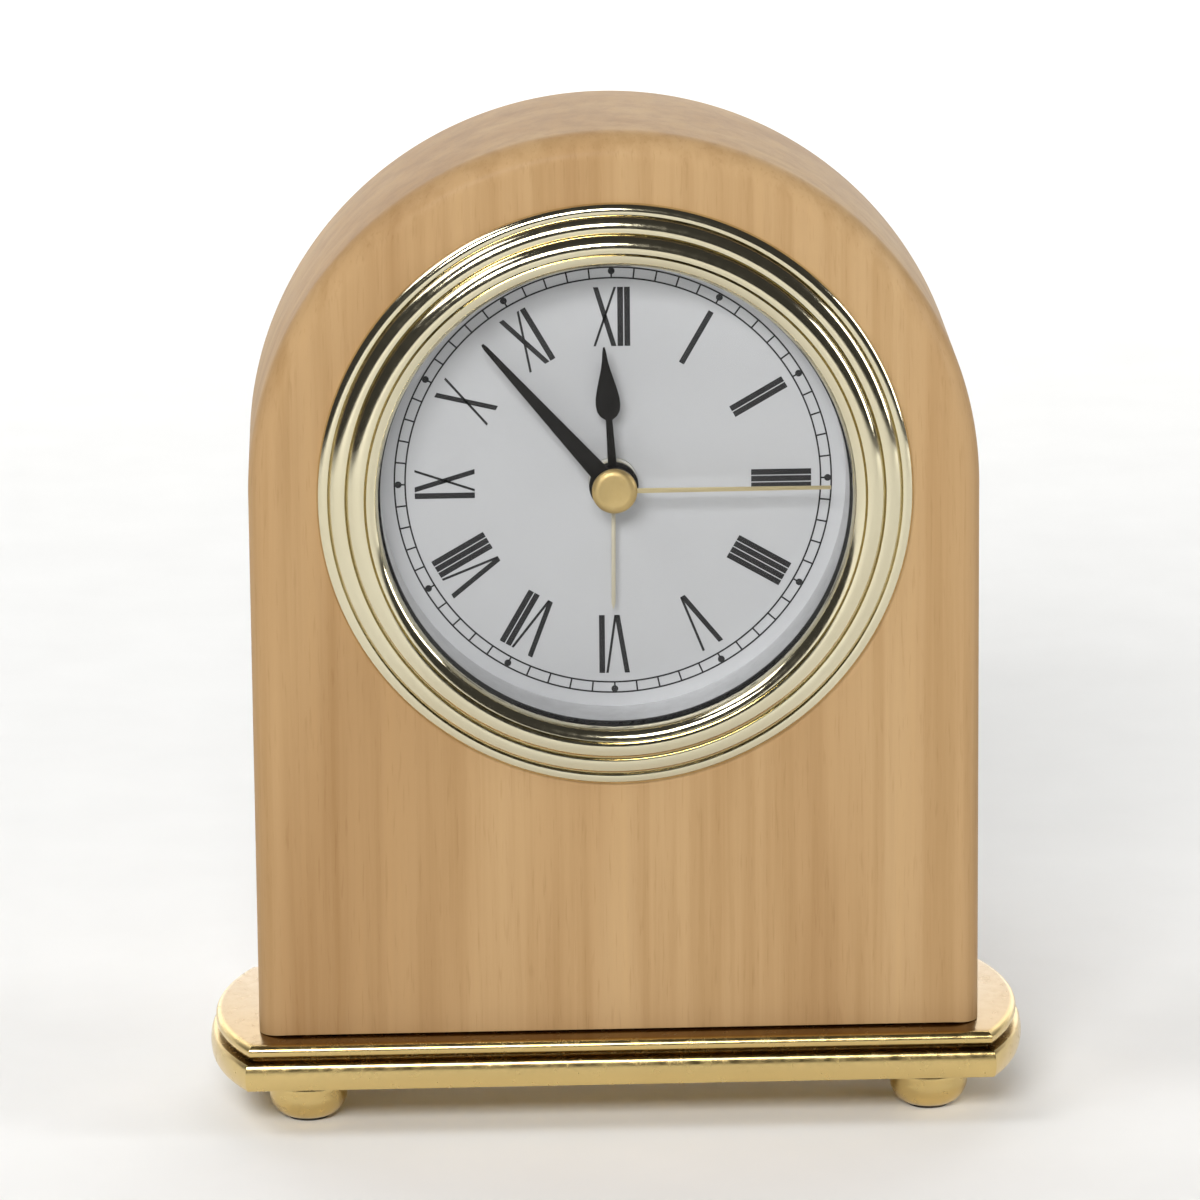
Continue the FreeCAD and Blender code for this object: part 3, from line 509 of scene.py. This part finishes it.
def base_section():
    """(inset, height) in mm from the underside to the flat top."""
    half = BAND / 2
    low = 6.2
    cove_low = low + BAND
    bead = (BASE_TOP - cove_low - COVE) / 2
    band = [(half * 0.30 * (1 - math.cos(math.radians(a))), low + half * (1 + math.sin(math.radians(a))))
            for a in range(-80, 81, 10)]
    cove = [(0.75 + 0.85 * math.sin(math.radians(a)), cove_low + COVE * (1 - math.cos(math.radians(a))))
            for a in range(12, 91, 13)]
    round_bead = [(LIP + bead * (1 - math.cos(math.radians(a))),
                   BASE_TOP - bead + bead * 0.98 * math.sin(math.radians(a))) for a in range(-75, 76, 10)]
    return band + cove + round_bead + [(LIP + bead, BASE_TOP)]


def base_outline(inset):
    front, back = BASE_FRONT + inset, BASE_BACK - inset
    middle = (front + back) / 2
    corner = BASE_CORNER - inset * 0.7
    end = BASE_END - inset
    points = [(-corner + 2 * corner * k / 24, front) for k in range(24)]
    points += arc((corner, front), (end, middle), (corner, back), 32)[:-1]
    points += [(corner - 2 * corner * k / 24, back) for k in range(24)]
    points += arc((-corner, back), (-end, middle), (-corner, front), 32)[:-1]
    return points


def make_base():
    rows = [(base_outline(inset), z) for inset, z in base_section()]
    count = len(rows[0][0])
    verts = [(x * MM, y * MM, z * MM) for points, z in rows for x, y in points]
    faces = []
    for r in range(len(rows) - 1):
        for k in range(count):
            k2 = (k + 1) % count
            faces.append((r * count + k, r * count + k2, (r + 1) * count + k2, (r + 1) * count + k))
    faces.append(tuple(range(count - 1, -1, -1)))
    faces.append(tuple(range((len(rows) - 1) * count, len(rows) * count)))
    return new_piece("base_moulding", verts, faces, 28.0)


finish_piece(make_base(), "case", BASE_GOLD, "base_gold", "base_plate")

# %% [markdown]
# ## Bun feet
# Each foot is a small brass turning, widest near the base and rounded under, so
# one section spun about its own upright axis makes it.

# %% Feet
def make_foot(node):
    low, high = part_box(node)
    x, y = (low[0] + high[0]) / 2, (low[1] + high[1]) / 2
    bottom = low[2] / MM
    top = BASE_LOW[2] / MM
    profile = section(
        (0.0, bottom), (2.9, bottom), ((3.1, bottom + 0.04), (4.3, 1.55), (4.8, 3.8)),
        ((4.8, 3.8), (4.75, 4.8), (4.25, 5.5)), (3.9, 5.6), (3.9, top), (0.0, top))
    piece = spin(node + "_turning", profile, "z", (x, y), 64, False)
    return finish_piece(piece, "case", BASE_GOLD, "base_gold", node)


for node in ("foot_front_left", "foot_front_right", "foot_rear_left", "foot_rear_right"):
    make_foot(node)

# %% [markdown]
# ## Bezel
# The bezel is a turned ring in steps that rise towards the window: three
# rounded steps, each parted from the next by a fine groove, and an inner lip
# that falls back to the glass.  The grooves are what draw the dark circles.

# %% Bezel
FACE = CASE_FRONT / MM


def at(radius, height):
    return (radius, FACE - height)


def make_bezel():
    profile = section(
        at(30.75, -2.5), at(30.75, 0.0), at(36.0, 0.0),
        (at(36.0, 0.35), at(35.55, 0.85), at(34.72, 0.95)), at(34.6, 0.70),
        (at(34.44, 1.15), at(33.6, 1.72), at(32.64, 1.75)), at(32.5, 1.43),
        (at(32.34, 2.0), at(31.3, 2.75), at(30.34, 2.72)), at(30.2, 2.38),
        (at(30.04, 2.78), at(29.4, 2.62), at(28.6, 1.6)),
        at(28.6, 0.95), at(29.0, 0.95), at(29.0, 0.0), at(30.05, 0.0), at(30.05, -2.5))
    return spin("bezel_ring", profile, "y", (0.0, CENTRE_Z), 320, True, 24.0)


finish_piece(make_bezel(), "case", BEZEL_GOLD, "gold", "bezel")

# %% [markdown]
# ## Printed track and dots
# The minute track is two printed circles with a tick every minute between
# them, like a ladder bent round, and a dot at each hour.  What repeats is set
# out by Geometry Nodes: a circle's points carry a mark each, turned to the
# centre.  The result is made a plain mesh, one printed piece.

# %% Repeated marks
PRINT_BACK = DIAL_FACE_Y
PRINT_FRONT = DIAL_FACE_Y - 0.03 * MM


def socket_id(tree, label):
    for item in tree.interface.items_tree:
        if item.name == label and item.in_out == "INPUT":
            return item.identifier
    raise KeyError(label)


def marks_tree(name, mark_kind, material):
    """A node group: Count marks of Size x Length x Depth on a circle of Radius."""
    tree = bpy.data.node_groups.new(name, "GeometryNodeTree")
    tree.interface.new_socket("Geometry", in_out="INPUT", socket_type="NodeSocketGeometry")
    tree.interface.new_socket("Geometry", in_out="OUTPUT", socket_type="NodeSocketGeometry")
    tree.interface.new_socket("Count", in_out="INPUT", socket_type="NodeSocketInt")
    for label in ("Radius", "Size", "Length", "Depth"):
        tree.interface.new_socket(label, in_out="INPUT", socket_type="NodeSocketFloat")
    add, link = tree.nodes.new, tree.links.new
    given, out = add("NodeGroupInput"), add("NodeGroupOutput")
    ring = add("GeometryNodeMeshCircle")
    link(given.outputs["Count"], ring.inputs["Vertices"])
    link(given.outputs["Radius"], ring.inputs["Radius"])
    if mark_kind == "bar":
        mark = add("GeometryNodeMeshCube")
        size = add("ShaderNodeCombineXYZ")
        link(given.outputs["Length"], size.inputs["X"])
        link(given.outputs["Size"], size.inputs["Y"])
        link(given.outputs["Depth"], size.inputs["Z"])
        link(size.outputs["Vector"], mark.inputs["Size"])
    else:
        mark = add("GeometryNodeMeshCylinder")
        mark.inputs["Vertices"].default_value = 24
        link(given.outputs["Size"], mark.inputs["Radius"])
        link(given.outputs["Depth"], mark.inputs["Depth"])
    place = add("GeometryNodeInputPosition")
    to_angle = add("FunctionNodeAlignRotationToVector")
    to_angle.axis = "X"
    link(place.outputs["Position"], to_angle.inputs["Vector"])
    spread = add("GeometryNodeInstanceOnPoints")
    link(ring.outputs["Mesh"], spread.inputs["Points"])
    link(mark.outputs["Mesh"], spread.inputs["Instance"])
    link(to_angle.outputs["Rotation"], spread.inputs["Rotation"])
    real = add("GeometryNodeRealizeInstances")
    painted = add("GeometryNodeSetMaterial")
    painted.inputs["Material"].default_value = material
    link(spread.outputs["Instances"], real.inputs["Geometry"])
    link(real.outputs["Geometry"], painted.inputs["Geometry"])
    link(painted.outputs["Geometry"], out.inputs["Geometry"])
    return tree


def grown(name, tree, place, **values):
    """Run a node group on an empty mesh and keep its result as a plain mesh."""
    host = bpy.data.objects.new(name + "_host", bpy.data.meshes.new(name + "_host"))
    bpy.context.collection.objects.link(host)
    modifier = host.modifiers.new("marks", "NODES")
    modifier.node_group = tree
    for label, value in values.items():
        modifier[socket_id(tree, label)] = value
    ready = host.evaluated_get(bpy.context.evaluated_depsgraph_get())
    mesh = bpy.data.meshes.new_from_object(ready)
    host.modifiers.remove(modifier)
    bpy.data.objects.remove(host)
    mesh.name = name
    mesh.transform(place)
    piece = bpy.data.objects.new(name, mesh)
    bpy.context.collection.objects.link(piece)
    return piece


MIDDLE = Matrix.Translation((0, (PRINT_FRONT + PRINT_BACK) / 2, CENTRE_Z))
ON_DIAL = MIDDLE @ Matrix.Rotation(math.pi / 2, 4, "X")
DEPTH = PRINT_BACK - PRINT_FRONT
bar_tree = marks_tree("bars on a circle", "bar", INK)
dot_tree = marks_tree("dots on a circle", "dot", INK)
ticks = grown("minute_ticks", bar_tree, ON_DIAL, Count=60, Radius=25.9 * MM,
              Size=0.20 * MM, Length=1.1 * MM, Depth=DEPTH)
finish_piece(ticks, "case", INK, "hand_black")
dots = grown("hour_dots", dot_tree, ON_DIAL, Count=12, Radius=26.1 * MM,
             Size=0.42 * MM, Length=0.0, Depth=DEPTH * 1.4)
finish_piece(dots, "case", INK, "hand_black")

# %% Track circles
def flat_ring(name, radius, width):
    low, high = (radius - width / 2) * MM, (radius + width / 2) * MM
    profile = [(low, PRINT_FRONT), (high, PRINT_FRONT), (high, PRINT_BACK), (low, PRINT_BACK)]
    return spin(name, profile, "y", (0.0, CENTRE_Z), 240, True)


for name, radius in (("track_inner", 25.25), ("track_outer", 26.55)):
    finish_piece(flat_ring(name, radius, 0.20), "case", INK, "hand_black")

# %% [markdown]
# ## Roman numerals
# The numerals are drawn from strokes with no serifs.  Every upright is a bar;
# V and X have one heavy and one hair stroke.  Each numeral stands on the
# line to the centre, with its foot inwards, and four is written IIII, as on
# most clock dials.

# %% Roman numerals
FOOT_R, HEAD_R = 16.8, 24.1
BAR, HAIR, GAP = 0.70, 0.30, 0.13
HEAVY = 0.62


def stroke(top, bottom, width):
    """A slanted bar between two places on the head and foot lines."""
    half = width / 2
    return [(bottom - half, FOOT_R), (bottom + half, FOOT_R), (top + half, HEAD_R), (top - half, HEAD_R)]


def glyph(letter, left):
    """Strokes of one letter that starts at left, and the letter's width."""
    if letter == "I":
        middle = left + BAR / 2
        return [stroke(middle, middle, BAR)], BAR
    width = 2.9 if letter == "V" else 2.8
    heavy_top, hair_top = left + HEAVY / 2, left + width - HAIR / 2
    if letter == "V":
        foot = left + width * 0.52
        return [stroke(heavy_top, foot, HEAVY), stroke(hair_top, foot + 0.2, HAIR)], width
    heavy_foot, hair_foot = left + width - HEAVY / 2, left + HAIR / 2
    return [stroke(heavy_top, heavy_foot, HEAVY), stroke(hair_top, hair_foot, HAIR)], width


def numeral(word):
    strokes, cursor = [], 0.0
    for letter in word:
        found, width = glyph(letter, cursor)
        strokes += found
        cursor += width + GAP
    shift = (cursor - GAP) / 2
    return [[(a - shift, up) for a, up in points] for points in strokes]


WORDS = ("XII", "I", "II", "III", "IIII", "V", "VI", "VII", "VIII", "IX", "X", "XI")
for hour, word in enumerate(WORDS):
    piece = plate("numeral_%02d" % (hour or 12), numeral(word), PRINT_FRONT, PRINT_BACK, 30.0 * hour)
    finish_piece(piece, "case", INK, "hand_black")

# %% [markdown]
# ## Hands
# The hour hand is a spade: a slim stem, a full rounded shoulder and a long
# point.  The minute hand is a plain taper.  Both are stamped from thin sheet, so
# their outlines are plates with a small bevel that catches the light.  The
# seconds hand is a gold needle under a domed cap, and the alarm hand is a short
# pale bar.

# %% Hand outlines
def mirrored(right_side):
    """Outline from points up the right side, mirrored down the left."""
    return right_side + [(-a, up) for a, up in reversed(right_side) if a > 0]


STEM = [(0.55, 2.2), (0.50, 4.0), (0.40, 8.3), (0.62, 8.45)]
SPADE = [(1.05, 8.8), (1.38, 9.4), (1.5, 10.2), (1.45, 11.0), (1.2, 12.2), (0.88, 13.4),
         (0.56, 14.6), (0.36, 15.6), (0.25, 16.6), (0.12, 17.3)]
HANDS = {
    "hour_hand": (356.5, mirrored(STEM + SPADE)),
    "minute_hand": (319.0, mirrored([(1.15, 1.8), (1.12, 3.0), (0.28, 23.4), (0.16, 24.0)])),
    "second_hand": (90.0, mirrored([(0.30, 1.5), (0.26, 14.0), (0.22, 26.2)])),
    "alarm_hand": (180.5, mirrored([(0.25, 2.3), (0.25, 14.9), (0.05, 15.6)])),
}
BODY_OF = {"hour_hand": "hours", "minute_hand": "minutes", "alarm_hand": "alarm"}


def bevelled_plate(name, outline, y_front, thickness, turn, bevel):
    piece = plate(name, [outline], y_front, y_front + thickness, turn)
    work = bmesh.new()
    work.from_mesh(piece.data)
    edges = [e for e in work.edges if all(abs(v.co.y - y_front) < 1e-6 for v in e.verts)]
    bmesh.ops.bevel(work, geom=edges, offset=bevel, segments=2, affect="EDGES", profile=0.6)
    work.to_mesh(piece.data)
    work.free()
    piece.data.set_sharp_from_angle(angle=math.radians(30))
    return piece


def joined(name, *pieces):
    """One mesh from several, at the origin."""
    work = bmesh.new()
    for piece in pieces:
        work.from_mesh(piece.data)
        bpy.data.objects.remove(piece)
    mesh = bpy.data.meshes.new(name)
    work.to_mesh(mesh)
    work.free()
    whole = bpy.data.objects.new(name, mesh)
    bpy.context.collection.objects.link(whole)
    return whole


# %% Hands
# Known fault: one bore serves every hub.  The hour tube and the cannon tube are
# wider than this, so the alarm hub cuts into both and the hour hub into the second.
HUB_BORE = 0.9


def make_hand(node, material, slot, hub_radius, hub_height, bevel):
    low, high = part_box(node)
    turn, outline = HANDS[node]
    front = low[1]
    blade = bevelled_plate(node + "_blade", outline, front, 0.25 * MM, turn, bevel)
    rim = front / MM
    crown = ((hub_radius - 0.35, rim), (hub_radius - 0.1, rim + 0.1), (hub_radius, rim + 0.35))
    foot = ((hub_radius, rim + hub_height), (HUB_BORE, rim + hub_height))
    profile = section((HUB_BORE, rim), crown, *foot)
    hub = spin(node + "_hub", profile, "y", (0.0, CENTRE_Z), 96, True)
    piece = joined(node + "_stamping", blade, hub)
    return finish_piece(piece, BODY_OF[node], material, slot, node)


make_hand("hour_hand", HAND_BLACK, "hand_black", 3.0, 0.5, 0.06 * MM)
make_hand("minute_hand", HAND_BLACK, "hand_black", 2.6, 0.45, 0.06 * MM)
make_hand("alarm_hand", ALARM_GOLD, "hand_gold", 2.9, 0.4, 0.05 * MM)


def make_second_hand():
    low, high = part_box("second_hand")
    turn, outline = HANDS["second_hand"]
    needle = bevelled_plate("second_blade", outline, low[1] + 0.55 * MM, 0.2 * MM, turn, 0.04 * MM)
    rim = low[1] / MM
    crown = ((1.6, rim + 0.04), (2.45, rim + 0.16), (2.75, rim + 0.5))
    foot = ((2.75, rim + 0.75), (0.8, rim + 0.75), (0.8, rim + 1.25), (0.0, rim + 1.25))
    profile = section((0.0, rim), crown, *foot)
    cap = spin("second_cap", profile, "y", (0.0, CENTRE_Z), 96, False)
    finish_piece(needle, "seconds", HAND_GOLD, "hand_gold", "second_hand")
    finish_piece(cap, "seconds", CAP_GOLD, "hand_gold")


make_second_hand()

# %% [markdown]
# ## Frame parts that keep their own shape
# The dial disc, window, silver ring, housing, knobs, screws and the whole
# movement are already right as engineered.  They only need their real
# finishes.

# %% Finishes on the frame parts
FINISHES = {
    "dial": DIAL, "lens": GLASS, "dial_wall": SILVER, "lens_gasket": RUBBER, "grip_ring": RUBBER,
    "insert_cup": BLACK, "insert_back": BLACK, "battery_door": BLACK, "time_set_knob": BLACK,
    "alarm_set_knob": BLACK, "alarm_switch": BLACK, "back_screws": STEEL, "base_screws": STEEL,
    "movement_screws": STEEL, "contact_plus": STEEL, "contact_spring": STEEL, "stator": STEEL,
    "coil_core": STEEL, "quartz_can": STEEL, "foot_pads": FELT, "battery": JACKET,
    "movement_plate": WHITE, "movement_lid": WHITE, "train_bridge": WHITE, "intermediate_wheel": WHITE,
    "second_wheel": WHITE, "third_wheel": WHITE, "motion_wheel": WHITE, "hour_wheel": WHITE,
    "alarm_wheel": WHITE, "coil_bobbin": WHITE, "centre_wheel": BRASS, "cannon_pinion": BRASS,
    "rotor": FERRITE, "circuit_board": BOARD, "circuit_chip": BLACK, "sounder": BLACK,
    "coil_winding": COPPER,
}
for node, material in FINISHES.items():
    paint_node(node, material)
print(len(FINISHES), "frame nodes refinished")

# %% [markdown]
# ## Floor, light and camera
# A plain pale floor sweeps up into the backdrop.  Four soft lights are used: a
# broad one in front and above, a smaller one high on the left, a tall strip on
# the right, and one that washes the backdrop.  Polished steps only read as metal
# when they mirror something, so dark gaps are left between the lights.

# %% Floor
def make_floor():
    rows = []
    for k in range(13):
        angle = math.pi / 2 * k / 12
        rows.append((1.6 + 0.6 * math.sin(angle), 0.6 - 0.6 * math.cos(angle)))
    line = [(-3.2, 0.0)] + rows + [(2.2, 3.0)]
    verts = [(x, y, z - 0.00001) for y, z in line for x in (-4.0, 4.0)]
    faces = [(2 * k, 2 * k + 1, 2 * k + 3, 2 * k + 2) for k in range(len(line) - 1)]
    floor = new_piece("floor_sweep", verts, faces)
    paper = make_moulded("backdrop_paper", (0.86, 0.86, 0.85), 0.02, 0.9, 40.0, 0.0001)
    floor.data.materials.append(paper)


make_floor()

# %% Lights
def soft_light(name, place, target, size, power, colour=(1.0, 1.0, 1.0)):
    lamp = bpy.data.lights.new(name, "AREA")
    lamp.shape = "RECTANGLE"
    lamp.size, lamp.size_y = size
    lamp.energy = power
    lamp.color = colour
    holder = bpy.data.objects.new(name, lamp)
    holder.location = place
    holder.rotation_euler = (Vector(target) - Vector(place)).to_track_quat("-Z", "Y").to_euler()
    bpy.context.collection.objects.link(holder)


AIM = (0.0, 0.0, 0.08)
soft_light("key_high_left", (-0.62, -0.24, 0.86), AIM, (0.50, 0.42), 3.2)
soft_light("strip_right", (0.95, -0.20, 0.36), AIM, (0.22, 0.50), 3.5)
soft_light("front_high", (-0.25, -1.15, 0.72), AIM, (0.60, 0.30), 13.4)
soft_light("backdrop_wash", (0.0, 1.3, 1.5), (0.0, 2.3, 0.40), (3.0, 0.4), 72.0)

world = bpy.data.worlds.new("studio")
bpy.context.scene.world = world
world.use_nodes = True
world.node_tree.nodes["Background"].inputs["Color"].default_value = (1.0, 0.98, 0.95, 1.0)
world.node_tree.nodes["Background"].inputs["Strength"].default_value = 0.05
bpy.context.scene.view_settings.view_transform = "Standard"

# %% Camera
CAMERA_PLACE = Vector((-31.9, -899.4, 296.1)) * MM
PITCH, YAW, ROLL = math.radians(14.556), math.radians(-1.941), math.radians(-0.539)
LENS = 226.5


def make_camera():
    forward = Vector((-math.sin(YAW) * math.cos(PITCH), math.cos(YAW) * math.cos(PITCH), -math.sin(PITCH)))
    right = Vector((math.cos(YAW), math.sin(YAW), 0.0))
    up = right.cross(forward)
    turn = Matrix((right, up, -forward)).transposed() @ Matrix.Rotation(ROLL, 3, "Z")
    data = bpy.data.cameras.new("view")
    data.lens = LENS
    data.sensor_width = 36.0
    data.clip_start, data.clip_end = 0.05, 20.0
    holder = bpy.data.objects.new("view", data)
    holder.matrix_world = Matrix.Translation(CAMERA_PLACE) @ turn.to_4x4()
    bpy.context.collection.objects.link(holder)
    bpy.context.scene.camera = holder


make_camera()
